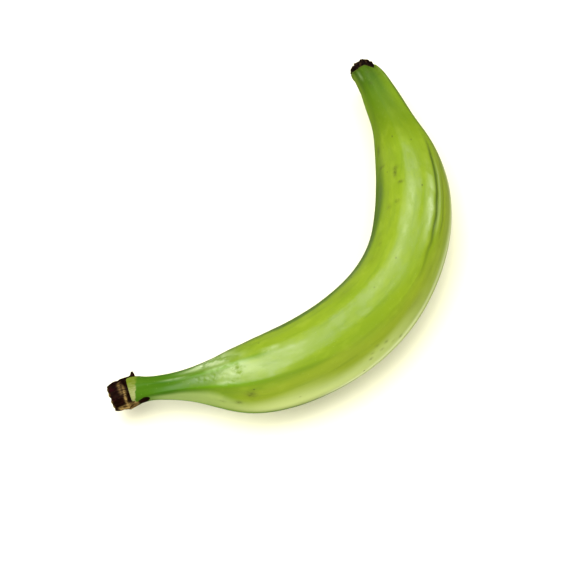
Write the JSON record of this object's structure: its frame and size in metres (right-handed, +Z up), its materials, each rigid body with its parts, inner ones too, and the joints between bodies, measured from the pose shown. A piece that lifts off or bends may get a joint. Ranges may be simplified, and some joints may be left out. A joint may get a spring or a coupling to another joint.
{
  "type": "plantain",
  "caption": "whole green plantain lying on its side, a stout curved fruit with soft lengthwise ridges, a tapering neck with a dark cut stub of crown and a withered flower tip",
  "frame": {"origin": "under the middle of the fruit's bounding box, on the surface it lies on", "axes": "+X along the chord of the bend from the cut stub to the flower tip, +Y towards the hollow side of the bend, +Z up"},
  "size_m": [0.2456, 0.1146, 0.0426],
  "materials": {
    "peel": "waxy satin green peel, dark brown woody stub and flower tip"
  },
  "bodies": {
    "root": {"plantain": "peel"}
  },
  "joints": []
}
